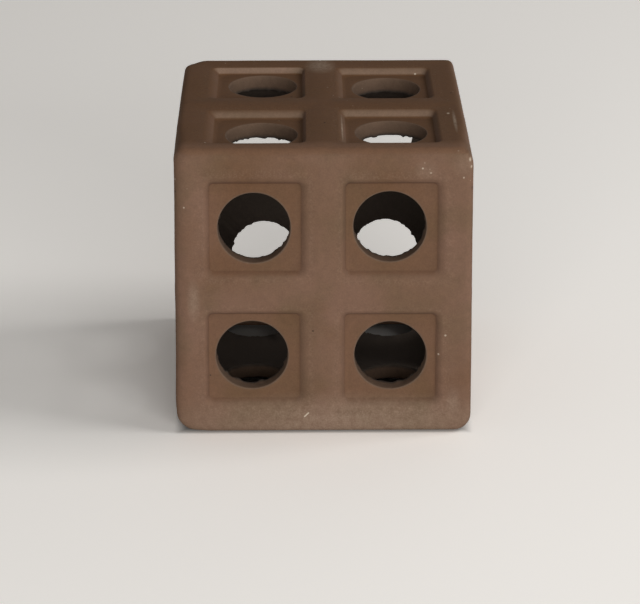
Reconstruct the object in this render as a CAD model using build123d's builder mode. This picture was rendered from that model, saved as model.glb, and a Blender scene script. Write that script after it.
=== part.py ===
# Hollow ceramic breeze block: a fired clay cube whose six faces each carry four square recesses,
# every recess pierced by a round vent that opens into the hollow inside.

import math
import os

from build123d import *

# Driving dimensions, in millimetres
block_width = 138.5  # left to right, fired a little narrower than high
block_depth = 140.0  # front to back
block_height = 140.0  # bed to top
bed_side_radius = 8.5  # rounding of the bed face's left and right edges
upright_radius = 4.0  # rounding of the upright edges, carried on under the front and the back
top_radius = 2.2  # rounding of the edges round the top face
face_rim = 14.5  # plain border between a side of the block and its recesses
face_rib = 18.0  # plain bar between two neighbouring recesses
recess_depth = 3.5  # from the face down to the recess floor
recess_slope = 2.8  # how far a recess wall runs inwards on its way down
recess_root_radius = 2.2  # plan rounding of the recess corners, at the recess floor
vent_diameter = 34.0  # round hole through the recess floor
floor_thickness = 6.5  # clay between the recess floor and the hollow
cavity_edge_chamfer = 6.0  # clay left along the hollow's edges, where the walls join

# The walls are as thick as a recess and its floor together
wall_thickness = recess_depth + floor_thickness
vent_reach = 2 * floor_thickness  # runs on past the floor, out into the hollow

# A recess is wider at its lip than at its floor
recess_lip_radius = recess_root_radius + recess_slope
recess_taper = math.degrees(math.atan(recess_slope / recess_depth))

# The block stands on the middle of its bed face, with its front towards -Y
block_centre = Vector(0, 0, block_height / 2)

# Two ways that a face can look, its sizes along and across, and how far it is from the middle
face_pairs = [
    (Axis.X, Axis.Y, block_depth, block_height, block_width / 2),
    (Axis.Y, Axis.X, block_width, block_height, block_depth / 2),
    (Axis.Z, Axis.X, block_width, block_depth, block_height / 2),
]

# The hollow inside the walls
with BuildPart() as cavity:
    with Locations(block_centre):
        Box(
            block_width - 2 * wall_thickness,
            block_depth - 2 * wall_thickness,
            block_height - 2 * wall_thickness,
        )
    chamfer(cavity.edges(), length=cavity_edge_chamfer)


# Two recesses share what the rims and the rib leave of a face
def recess_size(face_size):
    return (face_size - 2 * face_rim - face_rib) / 2


# What a recess and its vent take out of the clay, drawn with the face at height zero
def recess_cut(along, across):
    with BuildPart() as cut:
        with BuildSketch(Plane.XY):
            RectangleRounded(along, across, recess_lip_radius)
        extrude(amount=-recess_depth, taper=recess_taper)
        with BuildSketch(Plane.XY.offset(-recess_depth)):
            Circle(vent_diameter / 2)
        extrude(amount=-vent_reach)
    return cut.part


# The block, pressed and fired as one piece
with BuildPart() as breeze_block:
    with Locations(block_centre):
        Box(block_width, block_depth, block_height)
    fillet(breeze_block.edges().filter_by(Axis.Y).group_by(Axis.Z)[0], radius=bed_side_radius)
    fillet(breeze_block.edges().filter_by(Axis.Z), radius=upright_radius)
    fillet(breeze_block.faces().sort_by(Axis.Z)[-1].edges(), radius=top_radius)
    add(cavity.part, mode=Mode.SUBTRACT)
    for facing, running, face_along, face_across, reach in face_pairs:
        along = recess_size(face_along)
        across = recess_size(face_across)
        cut = recess_cut(along, across)
        for outwards in (facing.direction, -facing.direction):
            face_plane = Plane(block_centre + outwards * reach, x_dir=running.direction, z_dir=outwards)
            with Locations(face_plane):
                with GridLocations(along + face_rib, across + face_rib, 2, 2):
                    add(cut, mode=Mode.SUBTRACT)

breeze_block.part.label = "breeze_block"
os.makedirs("parts", exist_ok=True)
export_step(breeze_block.part, "parts/breeze_block.step")
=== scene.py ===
import math

import bpy
from mathutils import Matrix, Vector


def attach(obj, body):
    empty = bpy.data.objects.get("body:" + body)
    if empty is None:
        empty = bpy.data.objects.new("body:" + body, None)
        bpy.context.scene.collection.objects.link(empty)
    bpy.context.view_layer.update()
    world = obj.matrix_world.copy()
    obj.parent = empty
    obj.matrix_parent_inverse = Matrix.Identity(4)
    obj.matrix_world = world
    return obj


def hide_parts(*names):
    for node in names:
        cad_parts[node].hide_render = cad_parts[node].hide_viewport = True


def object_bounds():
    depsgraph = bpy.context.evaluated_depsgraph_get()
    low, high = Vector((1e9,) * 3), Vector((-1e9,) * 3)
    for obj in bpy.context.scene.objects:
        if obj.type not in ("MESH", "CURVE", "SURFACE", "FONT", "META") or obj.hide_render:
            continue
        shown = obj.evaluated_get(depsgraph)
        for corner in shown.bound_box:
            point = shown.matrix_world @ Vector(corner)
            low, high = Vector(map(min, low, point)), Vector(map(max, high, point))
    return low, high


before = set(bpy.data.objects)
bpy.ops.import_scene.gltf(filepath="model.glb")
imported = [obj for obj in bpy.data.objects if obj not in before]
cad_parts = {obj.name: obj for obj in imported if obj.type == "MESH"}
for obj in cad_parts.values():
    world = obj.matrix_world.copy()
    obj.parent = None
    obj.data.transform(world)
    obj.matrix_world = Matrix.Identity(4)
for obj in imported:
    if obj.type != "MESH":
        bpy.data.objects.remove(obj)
cadLow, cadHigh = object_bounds()
edge = cadHigh.z - cadLow.z  # the block's height, and its depth too
perMetre = 1000.0  # millimetres
print("frame loaded:", sorted(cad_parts))


# Node helpers: a wrapped socket does sums, and one method adds any other node
class Wire:
    def __init__(self, net, socket):
        self.net = net
        self.socket = socket

    def maths(self, operation, *values):
        return self.net.add("ShaderNodeMath", {"operation": operation}, dict(enumerate(values)))

    def __add__(self, other):
        return self.maths("ADD", self, other)

    def __radd__(self, other):
        return self.maths("ADD", other, self)

    def __sub__(self, other):
        return self.maths("SUBTRACT", self, other)

    def __rsub__(self, other):
        return self.maths("SUBTRACT", other, self)

    def __mul__(self, other):
        return self.maths("MULTIPLY", self, other)

    def __rmul__(self, other):
        return self.maths("MULTIPLY", other, self)

    def __truediv__(self, other):
        return self.maths("DIVIDE", self, other)

    def __rtruediv__(self, other):
        return self.maths("DIVIDE", other, self)

    def __abs__(self):
        return self.maths("ABSOLUTE", self)

    def sin(self):
        return self.maths("SINE", self)

    def cos(self):
        return self.maths("COSINE", self)

    def root(self):
        return self.maths("SQRT", self)

    def sign(self):
        return self.maths("SIGN", self)

    def atLeast(self, other):
        return self.maths("MAXIMUM", self, other)

    def atMost(self, other):
        return self.maths("MINIMUM", self, other)

    def above(self, other):
        return self.maths("GREATER_THAN", self, other)

    def ramp(self, start, end, shape="LINEAR"):  # 0 at start, 1 at end
        settings = {"interpolation_type": shape, "clamp": True}
        inputs = {"Value": self, "From Min": start, "From Max": end}
        return self.net.add("ShaderNodeMapRange", settings, inputs)


class Net:
    def __init__(self, tree):
        self.tree = tree

    def add(self, kind, settings=None, inputs=None, output=0):
        node = self.tree.nodes.new(kind)
        for name, value in (settings or {}).items():
            setattr(node, name, value)
        for name, value in (inputs or {}).items():
            if isinstance(value, Wire):
                self.tree.links.new(value.socket, node.inputs[name])
            else:
                node.inputs[name].default_value = value
        return Wire(self, node.outputs[output]) if len(node.outputs) else node

    def vector(self, operation, first, second):
        return self.add("ShaderNodeVectorMath", {"operation": operation}, {0: first, 1: second})

    def scaled(self, vector, factor):
        return self.add("ShaderNodeVectorMath", {"operation": "SCALE"}, {"Vector": vector, "Scale": factor})

    def joined(self, x, y, z):
        return self.add("ShaderNodeCombineXYZ", None, {"X": x, "Y": y, "Z": z})

    def parts(self, vector):
        split = self.add("ShaderNodeSeparateXYZ", None, {"Vector": vector})
        outputs = split.socket.node.outputs
        return [Wire(self, outputs[name]) for name in "XYZ"]

    def noise(self, place, scale, detail=2.0, roughness=0.5):
        inputs = {"Vector": place, "Scale": scale, "Detail": detail, "Roughness": roughness}
        return self.add("ShaderNodeTexNoise", {"noise_dimensions": "3D"}, inputs)

    def mixColour(self, factor, first, second, blend="MIX"):
        settings = {"data_type": "RGBA", "blend_type": blend, "clamp_factor": True}
        return self.add("ShaderNodeMix", settings, {0: factor, 6: first, 7: second}, output=2)


def linear(red, green, blue):  # a colour read from a screen, 0 to 255, as a shader colour
    shares = [level / 255 for level in (red, green, blue)]
    return tuple(s / 12.92 if s <= 0.04045 else ((s + 0.055) / 1.055) ** 2.4 for s in shares) + (1.0,)


# Fired clay; places are in metres in the block's own frame
clayLook = {
    "brown": linear(117, 90, 71),
    "pink": linear(125, 96, 79),
    "olive": linear(110, 88, 67),
    # rust is the clay's own rust here, and also painted shade on the top and the recess floors
    "rustAndShade": linear(100, 68, 41),
    "rubbed": linear(142, 108, 87),
    # painted shade for the creases at the roots of the recess walls
    "creaseShade": linear(82, 54, 41),
    "punched": linear(106, 90, 77),
    # painted shade for the inside of the block
    "hollowShade": linear(69, 62, 56),
    # dust, and also painted highlights on the lips and on walls of the top's recesses
    "dustAndHighlight": linear(168, 150, 132),
    "salt": linear(214, 200, 180),
    "pit": linear(46, 36, 30),
    "blotchScale": 24.0,
    "tintScale": 46.0,
    "rustScale": 19.0,
    "mottleScale": 330.0,
    "grainScale": 1250.0,
    "tintOffset": (0.31, 0.17, 0.05),   # moves a noise, so that it differs from the others
    "rustOffset": (0.07, 0.43, 0.22),
    "blotchSpan": (0.36, 0.64),         # noise levels where a tone starts and where it is full
    "tintSpan": (0.48, 0.7),
    "rustSpan": (0.52, 0.74),
    "topSpan": (0.6, 0.95),             # how far the surface is turned, up, down or forward
    "underSpan": (0.2, 0.6),
    "forwardSpan": (0.15, 0.5),
    "topLayer": (0.0055, 0.0045),       # how far under the top its recess walls are told apart
    "rimSpan": (0.39, 0.44),            # where the front rim starts, as shares of the edge
    "tintShare": 0.7,                   # how much of a tone there is where it is strongest
    "rustShare": 0.55,
    # painted shade on the recess floors and on the top
    "recessFloorShade": 0.4,
    "topFaceShade": 0.8,
    "rubbedShare": 0.45,
    # painted shade in the recess creases: everywhere, and more under down-facing walls
    "rootShade": 0.2,
    "underShade": 0.5,
    # painted highlights: forward-facing walls of the top's recesses, and the lips
    "wallHighlight": 0.25,
    "lipHighlight": 0.15,
    "punchedShare": 0.6,
    # painted shade inside the block
    "hollowShadeShare": 0.9,
    "speckShare": 0.65,
    "pitShare": 0.7,
    "scratchShare": 0.8,
    "evenCover": 0.2,                   # how thick dust lies: all over, and by the fine noises
    "mottleCover": 0.35,
    "grainCover": 0.3,
    "mottleShade": 0.3,                 # how far the fine noises lighten and darken the tone
    "grainShade": 0.45,
    "mottleBump": 0.6,
    "grainBump": 0.4,
    "roughness": (0.8, 0.94),
    "bumpStrength": 0.3,
    "bumpHeight": 0.0003,
    "specular": 0.3,
}
# Where salt has bloomed, and where dust was rubbed in, with one painted highlight among the dust: middle,
# half size, strength
saltPatches = [
    ((0.058, -0.07, 0.129), (0.017, 0.01, 0.013), 1.0),
    ((-0.066, -0.07, 0.128), (0.010, 0.01, 0.016), 0.5),
    ((0.063, 0.0, 0.14), (0.008, 0.03, 0.01), 0.6),
    ((0.012, 0.01, 0.14), (0.02, 0.03, 0.01), 0.5),
]
dustAndHighlightPatches = [
    ((-0.0595, -0.07, 0.067), (0.0035, 0.01, 0.012), 0.5),
    ((0.0605, -0.07, 0.016), (0.004, 0.01, 0.008), 0.35),
    ((0.0635, -0.07, 0.133), (0.007, 0.01, 0.007), 0.25),
    ((0.0460, -0.07, 0.1305), (0.006, 0.01, 0.005), 0.25),
    ((0.0, 0.058, 0.14), (0.0085, 0.014, 0.004), 0.9),
    ((0.01, -0.07, 0.004), (0.095, 0.012, 0.018), 0.6),
    ((0.0612, -0.028, 0.14), (0.0010, 0.018, 0.004), 1.2),
    # a painted highlight: a thin pale line along the left lip of the top's near right recess
    ((0.0090, -0.034, 0.14), (0.0006, 0.024, 0.004), 1.8),
]
# Grains of salt and pits that stand by themselves, given in the same way
saltGrains = [
    ((0.0562, -0.07, 0.0495), (0.0007, 0.002, 0.0007), 0.8),
    ((0.0588, -0.0164, 0.14), (0.0009, 0.0014, 0.002), 0.8),
    ((-0.0664, -0.07, 0.1334), (0.0007, 0.002, 0.0007), 0.8),
    ((-0.0630, -0.07, 0.1128), (0.0006, 0.002, 0.0006), 0.8),
    ((0.0658, -0.07, 0.1352), (0.0008, 0.004, 0.0012), 0.8),
    ((0.0664, -0.07, 0.1318), (0.0006, 0.004, 0.0009), 0.8),
    ((0.0445, -0.07, 0.1312), (0.0006, 0.002, 0.0006), 0.8),
    ((0.0482, -0.07, 0.1290), (0.0007, 0.002, 0.0005), 0.7),
    ((0.0630, -0.07, 0.1268), (0.0005, 0.002, 0.0006), 0.7),
]
clayPits = [
    ((0.0672, -0.07, 0.1216), (0.0009, 0.004, 0.0009), 0.8),
    ((0.0010, -0.03, 0.14), (0.0006, 0.0009, 0.002), 0.8),
]
# Strewn dots, one at most in a cell: cells in a metre, share of cells with a dot, largest radius in cells
fewSpecks = {"scale": 150.0, "share": 0.12, "largest": 0.085}
bloomSpecks = {"scale": 330.0, "share": 0.5, "largest": 0.16}
smallPits = {"scale": 210.0, "share": 0.06, "largest": 0.13}
scratch = {"middle": (-0.0079, -0.07, 0.0095), "half": 0.0017, "thickness": 0.0004, "reach": 0.004}


# Fades from 1 in the middle of a patch to 0 at its rim
def softPatch(net, place, middle, size):
    offset = net.vector("DIVIDE", net.vector("SUBTRACT", place, middle), size)
    away = net.add("ShaderNodeVectorMath", {"operation": "LENGTH"}, {"Vector": offset}, output="Value")
    return away.ramp(1.0, 0.25)


def patchSum(net, place, patches):
    total = 0.0
    for middle, size, strength in patches:
        total = total + softPatch(net, place, middle, size) * strength
    return total


def scatteredDots(net, place, scale, share, largest):
    cell = net.add("ShaderNodeTexVoronoi", None, {"Vector": place, "Scale": scale})
    luck, _, _ = net.parts(Wire(net, cell.socket.node.outputs["Color"]))
    reach = luck.ramp(1.0 - share, 1.0) * largest
    return reach.above(cell)


# A short slanting scratch on the front
def scratchMask(net, place):
    x, y, z = net.parts(net.vector("SUBTRACT", place, scratch["middle"]))
    along = abs((x + z) * math.sqrt(0.5))
    across = abs((x - z) * math.sqrt(0.5))
    half, thickness, reach = [scratch[name] for name in ("half", "thickness", "reach")]
    thin = across.ramp(thickness, thickness / 2)
    return thin * along.ramp(half, half * 0.8) * y.ramp(reach, reach / 2)


# What the block's tree stored at each point: how far along a stretch of its tile it is
def storedShare(net, name):
    return net.add("ShaderNodeAttribute", {"attribute_name": name}, None, output="Fac")


# The colour that each part of the block got in the kiln, with painted shade on the top, in the recesses and
# inside, and painted highlights on the top's forward-facing recess walls
def firedTone(net, place):
    look = clayLook
    blotch = net.noise(place, look["blotchScale"], 3.0)
    tint = net.noise(net.vector("ADD", place, look["tintOffset"]), look["tintScale"], 3.0)
    rustAndShade = net.noise(net.vector("ADD", place, look["rustOffset"]), look["rustScale"], 4.0)
    tone = net.mixColour(blotch.ramp(*look["blotchSpan"]), look["brown"], look["pink"])
    tone = net.mixColour(tint.ramp(*look["tintSpan"]) * look["tintShare"], tone, look["olive"])
    tone = net.mixColour(rustAndShade.ramp(*look["rustSpan"]) * look["rustShare"], tone, look["rustAndShade"])

    vent = storedShare(net, "ventShare")
    recess = storedShare(net, "recessShare")
    inside = storedShare(net, "insideShare")
    facing = net.add("ShaderNodeAttribute", {"attribute_name": "facing"}, None, output="Vector")
    _, facingBack, facingUp = net.parts(facing)
    _, back, rise = net.parts(place)
    top = facingUp.ramp(*look["topSpan"]) * (1 - inside)
    under = (0.0 - facingUp).ramp(*look["underSpan"])
    forward = (0.0 - facingBack).ramp(*look["forwardSpan"])
    onTop = rise.ramp(*[edge - below for below in look["topLayer"]])
    frontRim = (0.0 - back).ramp(*[edge * share for share in look["rimSpan"]])

    # A recess share runs from 0 at the lip to 1 on the floor
    # Painted shade: the floors of the recesses and the up-facing outside surfaces are darkened with the
    # rust colour
    paintedShade = (recess.ramp(0.7, 1.0) * look["recessFloorShade"]).atMost(1 - top) + top * look["topFaceShade"]
    tone = net.mixColour(paintedShade, tone, look["rustAndShade"])
    tone = net.mixColour(top * frontRim * look["rubbedShare"], tone, look["rubbed"])
    # Painted shade in the crease at each recess wall's root, darker on walls that face down, but not on the
    # top
    root = recess.ramp(0.35, 0.9) * recess.ramp(1.0, 0.95)
    creaseShadeMask = root * (1 - onTop) * (look["rootShade"] + under * look["underShade"])
    tone = net.mixColour(creaseShadeMask, tone, look["creaseShade"])
    # Painted highlight: walls of the top's recesses that face forward are lightened with the dust colour
    wall = recess.ramp(0.0, 0.1) * recess.ramp(1.0, 0.8)
    tone = net.mixColour(wall * forward * onTop * look["wallHighlight"], tone, look["dustAndHighlight"])
    tone = net.mixColour(vent.ramp(0.98, 1.0) * look["punchedShare"], tone, look["punched"])
    # Painted shade: the inside of the hollow block is darkened
    return net.mixColour(inside * look["hollowShadeShare"], tone, look["hollowShade"])


# What lies on the clay or is broken out of it: dust, salt, pits and a scratch; and painted highlights on
# the lips
def markedTone(net, place, mottle, grain, tone):
    look = clayLook
    lip = storedShare(net, "lipShare")
    cover = look["evenCover"] + mottle.ramp(0.3, 0.75) * look["mottleCover"]
    cover = cover + grain.ramp(0.4, 0.7) * look["grainCover"]
    dustAndHighlight = patchSum(net, place, dustAndHighlightPatches) * cover
    # Painted highlight along the lips, broken up by the grain
    dustAndHighlight = dustAndHighlight + lip.ramp(0.6, 1.0) * grain.ramp(0.5, 0.8) * look["lipHighlight"]
    tone = net.mixColour(dustAndHighlight, tone, look["dustAndHighlight"])
    bloom = patchSum(net, place, saltPatches).atMost(1.0)
    thick = scatteredDots(net, place, **bloomSpecks) * bloom
    specks = scatteredDots(net, place, **fewSpecks).atLeast(thick) * look["speckShare"]
    tone = net.mixColour(specks.atLeast(patchSum(net, place, saltGrains)), tone, look["salt"])
    pits = scatteredDots(net, place, **smallPits) * look["pitShare"]
    tone = net.mixColour(pits.atLeast(patchSum(net, place, clayPits)), tone, look["pit"])
    return net.mixColour(scratchMask(net, place) * look["scratchShare"], tone, look["salt"])


def firedClay():
    material = bpy.data.materials.new("firedClay")
    material.use_nodes = True
    net = Net(material.node_tree)
    shader = material.node_tree.nodes["Principled BSDF"]
    look = clayLook
    place = net.add("ShaderNodeTexCoord", None, None, output="Object")
    mottle = net.noise(place, look["mottleScale"], 3.0)
    grain = net.noise(place, look["grainScale"], 3.0, 0.6)
    shade = 1.0 + (mottle - 0.5) * look["mottleShade"] + (grain - 0.5) * look["grainShade"]
    tone = net.mixColour(1.0, firedTone(net, place), shade, "MULTIPLY")
    tone = markedTone(net, place, mottle, grain, tone)

    bump = net.add("ShaderNodeBump", None, {
        "Strength": look["bumpStrength"],
        "Distance": look["bumpHeight"],
        "Height": mottle * look["mottleBump"] + grain * look["grainBump"],
    })
    smooth, rough = look["roughness"]
    links = material.node_tree.links
    links.new(tone.socket, shader.inputs["Base Color"])
    links.new((smooth + mottle * (rough - smooth)).socket, shader.inputs["Roughness"])
    links.new(bump.socket, shader.inputs["Normal"])
    shader.inputs["Specular IOR Level"].default_value = look["specular"]
    return material


# The block: one pressed tile, a recess with its vent, repeated four times on each of the six faces
blockSize = {
    "Edge": edge,
    "Bed Side": 0.0085,         # roundings of the edges: the bed's sides, the uprights, round the top
    "Upright": 0.004,
    "Left Upright": 0.007,      # the left ones are worn rounder, growing between these heights
    "Worn From": 0.01,
    "Worn Fully": 0.04,
    "Top Edge": 0.0033,
    "Front Top": 0.006,         # rounder in front, growing between these shares of half the depth
    "Front From": 0.3,
    "Front Fully": 0.85,
    "Rim": 0.0145,
    "Rib": 0.018,
    "Recess Depth": 0.0035,
    "Recess Slope": 0.0023,
    "Lip Softness": 0.0018,     # how far the lip's rounding reaches out on the face
    "Crown": 0.0005,            # how far the bars between the recesses fall from their middles to the lips
    "Lip Corner": 0.0046,       # plan corners of a recess, at the lip and at the floor
    "Root Corner": 0.0016,
    "Vent Diameter": 0.0334,
    "Floor Thickness": 0.0065,
    "Mouth Round": 0.0007,
    "Inner Round": 0.0005,
    "Inner Corner": 0.006,
    "Corner Crowding": 0.35,    # crowds the points of a ring towards its corners
    "Collar": 0.0011,           # clay pushed through by the punch, round the inner end of a vent
    "Burr": 0.0009,             # and its ragged edge, which stands where the noise is over a level
    "Burr Scale": 480.0,
    "Burr Level": 0.52,
    "Burr Gain": 4.0,
    "Swell": 0.00045,           # slow unevenness of the faces
    "Swell Scale": 17.0,
    "Dimple": 0.00012,
    "Dimple Scale": 130.0,
    "Width": 0.976,             # fired a little narrower than high
    "Width By Height": -0.012,
    "Width By Depth": -0.004,
    "Top Draw": 0.0010,         # the right side leans in just under the top
    "Top Draw Height": 0.009,
    "Front Fall": 0.0006,       # the top falls towards its front edge
    "Front Fall Reach": 0.013,
}
ringCounts = {"rim": 9, "wall": 10, "floor": 3, "mouth": 4, "bore": 4, "inlet": 3, "inside": 3}
pointsRound = 112  # round each vent, a multiple of 8 so that a point falls on every corner
mergeGap = 2e-5  # points of neighbouring tiles that are nearer than this become one
tiny = 1e-9  # keeps a division by a length away from zero
wallDrift = 0.6  # how much of a punch's drift the recess wall takes up; the floor takes the rest

# Corners knocked while the clay was soft: the corner, how far round it, and the push, in millimetres
knocks = [
    ((-70, 70, 140), 12, (1.8, -1.6, -1.6)),
    ((-70, -70, 0), 18, (1.0, 0.4, 0.9)),
]

# How far a recess sits off its place, and each punch off its recess, across and up in millimetres
recessDrift = {
    ("front", -1, 1): (1.1, 0.25),
    ("front", 1, 1): (0.6, -0.8),
    ("front", -1, -1): (1.2, 0.0),
    ("front", 1, -1): (-0.9, -0.45),
}
ventDrift = {
    ("front", -1, 1): (-1.2, -0.85),
    ("front", 1, 1): (-1.9, 0.6),
    ("front", -1, -1): (-2.5, 1.0),
    ("front", 1, -1): (0.15, 1.05),
    ("top", -1, 1): (3.2, 3.4),
    ("top", 1, 1): (0.9, -1.0),
    ("top", -1, -1): (3.4, -4.8),
    ("top", 1, -1): (0.8, -2.2),
    ("back", 1, 1): (-0.8, 0.7),
    ("back", -1, 1): (1.2, -0.5),
    ("back", 1, -1): (-3.2, 2.6),
    ("back", -1, -1): (-1.4, 3.4),
    ("left", 1, 1): (0.9, -1.1),
    ("left", -1, 1): (-1.3, 0.4),
    ("left", 1, -1): (0.5, 1.2),
    ("left", -1, -1): (1.6, -0.3),
    ("right", 1, 1): (-1.0, 0.8),
    ("right", -1, 1): (0.7, 1.4),
    ("right", 1, -1): (-1.5, -0.6),
    ("right", -1, -1): (0.3, -1.2),
    ("bed", 1, 1): (1.1, 0.6),
    ("bed", -1, 1): (-0.4, -1.3),
    ("bed", 1, -1): (0.8, -4.6),
    ("bed", -1, -1): (-1.2, -4.6),
}

# Across and up on each face, seen from outside
faceAxes = {
    "front": (Vector((1, 0, 0)), Vector((0, 0, 1))),
    "back": (Vector((-1, 0, 0)), Vector((0, 0, 1))),
    "right": (Vector((0, 1, 0)), Vector((0, 0, 1))),
    "left": (Vector((0, -1, 0)), Vector((0, 0, 1))),
    "top": (Vector((1, 0, 0)), Vector((0, 1, 0))),
    "bed": (Vector((1, 0, 0)), Vector((0, -1, 0))),
}


# One point for each tile, with its turn and the drifts of its recess and its punch
def tilePlaces():
    recessHalf = (edge - 2 * blockSize["Rim"] - blockSize["Rib"]) / 4
    offset = recessHalf + blockSize["Rib"] / 2
    quarterTurns = {(1, 1): 0, (-1, 1): 1, (-1, -1): 2, (1, -1): 3}
    points, turns, slips, drifts = [], [], [], []
    for face, (across, up) in faceAxes.items():
        outwards = across.cross(up)
        upright = Matrix((across, up, outwards)).transposed()
        for (i, j), quarters in quarterTurns.items():
            spin = Matrix.Rotation(quarters * math.pi / 2, 3, "Z")
            points.append(outwards * edge / 2 + (across * i + up * j) * offset)
            turns.append((upright @ spin).to_euler())
            for drift, found in ((recessDrift, slips), (ventDrift, drifts)):
                right, rise = drift.get((face, i, j), (0.0, 0.0))
                found.append((across * right + up * rise) / perMetre)
    mesh = bpy.data.meshes.new("tilePlaces")
    mesh.from_pydata(points, [], [])
    for name, values in (("turn", turns), ("slip", slips), ("drift", drifts)):
        layer = mesh.attributes.new(name, "FLOAT_VECTOR", "POINT")
        for item, value in zip(layer.data, values):
            item.vector = value
    return mesh


def namedField(net, name, kind="FLOAT"):
    return net.add("GeometryNodeInputNamedAttribute", {"data_type": kind}, {"Name": name})


def keepField(net, geometry, name, value, kind="FLOAT"):
    settings = {"data_type": kind, "domain": "POINT"}
    inputs = {"Geometry": geometry, "Name": name, "Value": value}
    return net.add("GeometryNodeStoreNamedAttribute", settings, inputs)


# One tile: a strip whose length runs round the vent and whose width follows the section
def tileStrip(net, size):
    rings = sum(ringCounts.values())
    counts = {"Vertices X": pointsRound + 1, "Vertices Y": rings + 1}
    strip = net.add("GeometryNodeMeshGrid", None, counts)
    grid = strip.socket.node
    around, along, _ = net.parts(Wire(net, grid.outputs["UV Map"]))
    ring = along * rings

    stretch, first = {}, 0
    for name, count in ringCounts.items():
        stretch[name] = ring.ramp(first, first + count)
        first += count
    drop = stretch["wall"] * stretch["wall"]  # curves over from the lip and meets the floor at an angle
    mouthTurn = stretch["mouth"] * (math.pi / 2)
    inletTurn = stretch["inlet"] * (math.pi / 2)

    tileHalf = size["Edge"] / 4
    recessHalf = (size["Edge"] - 2 * size["Rim"] - size["Rib"]) / 4
    offset = recessHalf + size["Rib"] / 2
    lipHalf = recessHalf + size["Lip Softness"]
    rootHalf = recessHalf - size["Recess Slope"]
    ventRadius = size["Vent Diameter"] / 2
    mouthHalf = ventRadius + size["Mouth Round"]
    wall = size["Recess Depth"] + size["Floor Thickness"]
    insideHalf = (size["Edge"] / 2 - wall) / 2

    half = tileHalf - (tileHalf - lipHalf) * stretch["rim"] - (lipHalf - rootHalf) * stretch["wall"]
    half = half - (rootHalf - mouthHalf) * stretch["floor"] - size["Mouth Round"] * mouthTurn.sin()
    half = half + size["Inner Round"] * (1 - inletTurn.cos())
    half = half + (insideHalf - ventRadius - size["Inner Round"]) * stretch["inside"]
    bore = size["Floor Thickness"] + size["Collar"] - size["Mouth Round"] - size["Inner Round"]
    crown = size["Crown"] * stretch["rim"] * stretch["rim"]
    depth = crown + (size["Recess Depth"] - size["Crown"]) * drop
    depth = depth + size["Mouth Round"] * (1 - mouthTurn.cos())
    depth = depth + bore * stretch["bore"] + size["Inner Round"] * inletTurn.sin()
    depth = depth - size["Collar"] * (stretch["inside"] * ringCounts["inside"]).atMost(1.0)
    shift = (tileHalf - offset) * (1 - stretch["rim"]) + (insideHalf - offset) * stretch["inside"]

    # How round a ring is in plan: 0 is a square and 1 a circle
    lipRound = size["Lip Corner"] / lipHalf
    rootRound = size["Root Corner"] / rootHalf
    plan = lipRound * stretch["rim"] + (rootRound - lipRound) * stretch["wall"]
    plan = plan + (1 - rootRound) * stretch["floor"] - stretch["inside"]

    angle = around * (2 * math.pi)
    angle = angle + size["Corner Crowding"] / 4 * (angle * 4).sin()
    cosine, sine = angle.cos(), angle.sin()
    longer = abs(cosine).atLeast(abs(sine))
    shorter = abs(cosine).atMost(abs(sine))
    flat = 1 - plan
    reach = flat * (longer + shorter)
    corner = reach + (reach * reach - 2 * flat * flat + plan * plan).atLeast(0.0).root()
    inCorner = (shorter / longer).above(flat)
    radius = half * (corner * inCorner + (1 - inCorner) / longer)

    place = net.joined(radius * cosine + shift, radius * sine + shift, 0.0 - depth)
    shaped = net.add("GeometryNodeSetPosition", None, {"Geometry": strip, "Position": place})
    shares = {
        "ventShare": stretch["wall"] * wallDrift + stretch["floor"] * (1 - wallDrift) - stretch["inside"],
        "tileShare": stretch["rim"] - stretch["inside"],
        "burrShare": stretch["bore"] * stretch["bore"] * (1 - stretch["inside"]),
        "lipShare": stretch["rim"] * (1 - stretch["wall"]),
        "recessShare": drop,
        "insideShare": stretch["inlet"].above(0.0),
    }
    for name, share in shares.items():
        shaped = keepField(net, shaped, name, share)
    return shaped


# What pulls a square corner in to a round one
def pinched(first, second):
    return first.atLeast(second) / (first * first + second * second).root().atLeast(tiny)


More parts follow.
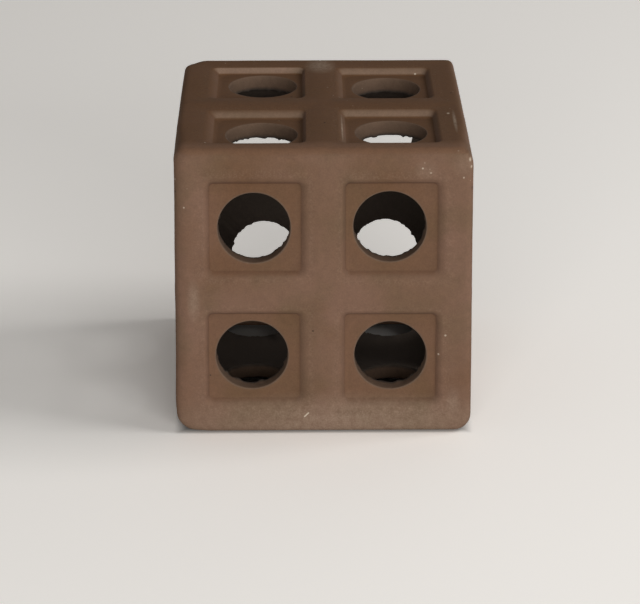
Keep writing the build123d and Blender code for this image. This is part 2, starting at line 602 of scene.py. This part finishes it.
# Rounds the cube's edges: the bed's sides, then the uprights and what follows from them, then the top
def roundedPlace(net, size):
    inside = namedField(net, "insideShare")
    x, y, z = net.parts(net.add("GeometryNodeInputPosition"))
    wall = size["Recess Depth"] + size["Floor Thickness"]
    half = size["Edge"] / 2 - wall * inside
    height = z + half
    leftShare = (0.0 - x).ramp(0.0, half, "SMOOTHSTEP")
    worn = leftShare * height.ramp(size["Worn From"], size["Worn Fully"], "SMOOTHSTEP")
    upright = size["Upright"] + (size["Left Upright"] - size["Upright"]) * worn
    front = (0.0 - y).ramp(half * size["Front From"], half * size["Front Fully"], "SMOOTHSTEP")
    topEdge = size["Top Edge"] + (size["Front Top"] - size["Top Edge"]) * front
    bedRadius, uprightRadius, topRadius = [
        outer + (size["Inner Corner"] - outer) * inside
        for outer in (size["Bed Side"], upright, topEdge)
    ]

    bedStart = half - bedRadius
    overX = (abs(x) - bedStart).atLeast(0.0)
    overZ = (0.0 - z - bedStart).atLeast(0.0)
    pull = pinched(overX, overZ)
    outX = overX * pull
    outZ = overZ * pull
    newX = abs(x).atMost(bedStart) + outX
    newZ = z.atLeast(0.0 - bedStart) - outZ

    uprightStart = half - uprightRadius
    overY = (abs(y) - uprightStart).atLeast(0.0)
    length = (outX * outX + outZ * outZ).root()
    overSide = (length - (bedRadius - uprightRadius)).atLeast(0.0)
    pull = pinched(overSide, overY)
    draw = overSide * (pull - 1) / length.atLeast(tiny)
    newX = newX + outX * draw
    newZ = newZ - outZ * draw
    newY = abs(y).atMost(uprightStart) + overY * pull

    topStart = half - topRadius
    sideRadius = uprightRadius.atLeast(topRadius)
    outX = (newX - (half - sideRadius)).atLeast(0.0)
    outY = (newY - (half - sideRadius)).atLeast(0.0)
    overTop = (newZ - topStart).atLeast(0.0)
    length = (outX * outX + outY * outY).root()
    overSide = (length - (sideRadius - topRadius)).atLeast(0.0)
    pull = pinched(overSide, overTop)
    draw = overSide * (pull - 1) / length.atLeast(tiny)
    newX = newX + outX * draw
    newY = newY + outY * draw
    newZ = newZ.atMost(topStart) + overTop * pull
    return net.joined(newX * x.sign(), newY * y.sign(), newZ)


# Pushes the clay near a corner
def knocked(net, place, corner, reach, push):
    middle = Vector(corner) / perMetre - Vector((0, 0, edge / 2))
    gap = net.add("ShaderNodeVectorMath", {"operation": "DISTANCE"}, {0: place, 1: middle}, output="Value")
    share = gap.ramp(reach / perMetre, 0.0, "SMOOTHSTEP")
    return net.vector("ADD", place, net.scaled(Vector(push) / perMetre, share))


# What the hand and the kiln did: punches off centre, burrs, uneven faces, knocks and a narrower top
def workedPlace(net, size):
    place = net.add("GeometryNodeInputPosition")
    normal = net.add("GeometryNodeInputNormal")
    slip = net.scaled(namedField(net, "slip", "FLOAT_VECTOR"), namedField(net, "tileShare"))
    drift = net.scaled(namedField(net, "drift", "FLOAT_VECTOR"), namedField(net, "ventShare"))
    drift = net.vector("ADD", drift, slip)
    burr = (net.noise(place, size["Burr Scale"], 1.0) - size["Burr Level"]).atLeast(0.0) * size["Burr Gain"]
    swell = net.noise(place, size["Swell Scale"], 1.0)
    dimple = net.noise(place, size["Dimple Scale"], 2.0)
    lift = burr * size["Burr"] * namedField(net, "burrShare")
    lift = lift - swell * size["Swell"] - dimple * size["Dimple"]
    place = net.vector("ADD", place, net.vector("ADD", drift, net.scaled(normal, lift)))
    for corner, reach, push in knocks:
        place = knocked(net, place, corner, reach, push)

    half = size["Edge"] / 2
    x, y, z = net.parts(place)
    width = size["Width"] * (1 + size["Width By Height"] * z / half + size["Width By Depth"] * y / half)
    lean = z.ramp(half - size["Top Draw Height"], half, "SMOOTHSTEP")
    rightShare = 0.5 + x / half * 0.5
    front = (0.0 - y).ramp(half - size["Front Fall Reach"], half)
    fall = front * front * lean * size["Front Fall"]
    newX = x * width - lean * rightShare * size["Top Draw"]
    return net.joined(newX, y, (z - fall + half).atLeast(0.0))


def blockTree(material):
    tree = bpy.data.node_groups.new("pressedBlock", "GeometryNodeTree")
    tree.interface.new_socket("Geometry", in_out="INPUT", socket_type="NodeSocketGeometry")
    sockets = {}
    for name in blockSize:
        socket = tree.interface.new_socket(name, in_out="INPUT", socket_type="NodeSocketFloat")
        sockets[name] = socket.identifier
    tree.interface.new_socket("Geometry", in_out="OUTPUT", socket_type="NodeSocketGeometry")
    net = Net(tree)
    places = net.add("NodeGroupInput")
    size = {name: Wire(net, places.socket.node.outputs[name]) for name in blockSize}

    turn = net.add("FunctionNodeEulerToRotation", None, {"Euler": namedField(net, "turn", "FLOAT_VECTOR")})
    tiles = {"Points": places, "Instance": tileStrip(net, size), "Rotation": turn}
    block = net.add("GeometryNodeInstanceOnPoints", None, tiles)
    block = net.add("GeometryNodeRealizeInstances", None, {"Geometry": block})
    rounded = roundedPlace(net, size)
    block = net.add("GeometryNodeSetPosition", None, {"Geometry": block, "Position": rounded})
    block = net.add("GeometryNodeMergeByDistance", None, {"Geometry": block, "Distance": mergeGap})
    worked = workedPlace(net, size)
    block = net.add("GeometryNodeSetPosition", None, {"Geometry": block, "Position": worked})
    block = keepField(net, block, "facing", net.add("GeometryNodeInputNormal"), "FLOAT_VECTOR")
    block = net.add("GeometryNodeSetShadeSmooth", None, {"Geometry": block, "Shade Smooth": True})
    block = net.add("GeometryNodeSetMaterial", None, {"Geometry": block, "Material": material})
    net.add("NodeGroupOutput", None, {"Geometry": block})
    return tree, sockets


def pressedBlock(material):
    piece = bpy.data.objects.new("clayBlock", tilePlaces())
    bpy.context.scene.collection.objects.link(piece)
    tree, sockets = blockTree(material)
    modifier = piece.modifiers.new("pressedBlock", "NODES")
    modifier.node_group = tree
    for name, value in blockSize.items():
        modifier[sockets[name]] = value
    depsgraph = bpy.context.evaluated_depsgraph_get()
    mesh = bpy.data.meshes.new_from_object(piece.evaluated_get(depsgraph))
    piece.modifiers.remove(modifier)
    piece.data = mesh
    mesh.name = "clayBlock"
    mesh.calc_loop_triangles()
    print("block:", len(mesh.vertices), "points,", len(mesh.loop_triangles), "triangles")
    return piece


clay = firedClay()
print("clay:", len(clay.node_tree.nodes), "nodes")
clayBlock = pressedBlock(clay)
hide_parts("breeze_block")
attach(clayBlock, "root")


# Floor: paler to the eye than to the block, so that it sends no more light back than a plain one
floorLook = {
    "tone": 0.72,
    "warmth": (1.0, 0.985, 0.965),
    "seenBoost": 1.0,
    "paintedShadowTone": 0.42,        # painted shadow on the floor where the block stands
    "paintedShadowSpan": (0.5, 0.46),  # as shares of the edge, from where it starts to where it is full
    "roughness": 0.95,
    "specular": 0.1,
    "reach": 8.0,
}


def floorMaterial():
    material = bpy.data.materials.new("paleFloor")
    material.use_nodes = True
    net = Net(material.node_tree)
    shader = material.node_tree.nodes["Principled BSDF"]
    rays = net.add("ShaderNodeLightPath").socket.node.outputs
    seen = Wire(net, rays["Is Camera Ray"])
    seen = seen + Wire(net, rays["Is Glossy Ray"]) + Wire(net, rays["Is Transmission Ray"])
    x, y, _ = net.parts(net.add("ShaderNodeTexCoord", None, None, output="Object"))
    starts, full = floorLook["paintedShadowSpan"]
    # Painted shadow on the floor under the block
    paintedShadow = abs(x).atLeast(abs(y)).ramp(edge * starts, edge * full)
    tone = floorLook["tone"] * (1.0 + seen.atMost(1.0) * floorLook["seenBoost"])
    tone = tone + (floorLook["paintedShadowTone"] - tone) * paintedShadow
    red, green, blue = floorLook["warmth"]
    colour = net.joined(tone * red, tone * green, tone * blue)
    material.node_tree.links.new(colour.socket, shader.inputs["Base Color"])
    shader.inputs["Roughness"].default_value = floorLook["roughness"]
    shader.inputs["Specular IOR Level"].default_value = floorLook["specular"]
    return material


def paleFloor():
    reach = floorLook["reach"] / 2
    corners = [(-reach, -reach, 0), (reach, -reach, 0), (reach, reach, 0), (-reach, reach, 0)]
    mesh = bpy.data.meshes.new("floor")
    mesh.from_pydata(corners, [], [(0, 1, 2, 3)])
    mesh.materials.append(floorMaterial())
    floor = bpy.data.objects.new("floor", mesh)
    bpy.context.scene.collection.objects.link(floor)
    print("floor:", floorLook["reach"], "m wide")


paleFloor()

# Light: a wide window low in front, a smaller one high on the right, a faint one behind, and a dim room
lamps = {
    "frontWindow": {"bearing": 9.0, "height": 13.0, "size": (2.8, 0.9), "power": 45.0},
    "sideWindow": {"bearing": 86.0, "height": 42.0, "size": (1.3, 1.3), "power": 20.0},
    "backWindow": {"bearing": 160.0, "height": 10.0, "size": (2.6, 1.0), "power": 6.0},
}
lampDistance = 2.5
lampTone = (1.0, 0.985, 0.96)
room = {"strength": 0.15, "tone": (1.0, 0.97, 0.93, 1.0)}


# A direction, in degrees to the right of the front and up from the floor
def direction(bearing, height):
    bearing = math.radians(bearing)
    height = math.radians(height)
    level = math.cos(height)
    return Vector((math.sin(bearing) * level, -math.cos(bearing) * level, math.sin(height)))


def addLamp(name, bearing, height, size, power):
    lamp = bpy.data.lights.new(name, "AREA")
    lamp.shape = "RECTANGLE"
    lamp.size, lamp.size_y = size
    lamp.energy = power
    lamp.color = lampTone
    holder = bpy.data.objects.new(name, lamp)
    bpy.context.scene.collection.objects.link(holder)
    towards = direction(bearing, height)
    holder.location = Vector((0, 0, edge / 2)) + towards * lampDistance
    holder.rotation_euler = towards.to_track_quat("Z", "Y").to_euler()


def softLight():
    for name, lamp in lamps.items():
        addLamp(name, **lamp)
    world = bpy.data.worlds.new("room")
    world.use_nodes = True
    background = world.node_tree.nodes["Background"]
    background.inputs["Color"].default_value = room["tone"]
    background.inputs["Strength"].default_value = room["strength"]
    bpy.context.scene.world = world
    print("lamps:", sorted(lamps))


softLight()

# Camera, at the photograph's place; the image is 640 pixels wide
cameraPlace = {
    "target": (-0.00081, 0.0, 0.03747),
    "distance": 1.219,
    "pitch": 22.71,
    "yaw": -0.66,
    "focalPixels": 2497.0,
    "imageWidth": 640.0,
    "sensor": 36.0,
}


def addCamera():
    back = direction(cameraPlace["yaw"], cameraPlace["pitch"])
    lens = bpy.data.cameras.new("camera")
    lens.sensor_width = cameraPlace["sensor"]
    lens.lens = cameraPlace["focalPixels"] / cameraPlace["imageWidth"] * cameraPlace["sensor"]
    camera = bpy.data.objects.new("camera", lens)
    bpy.context.scene.collection.objects.link(camera)
    camera.location = Vector(cameraPlace["target"]) + back * cameraPlace["distance"]
    camera.rotation_euler = back.to_track_quat("Z", "Y").to_euler()
    bpy.context.scene.camera = camera
    print("camera:", round(lens.lens, 1), "mm")


addCamera()
bpy.context.scene.view_settings.view_transform = "Standard"
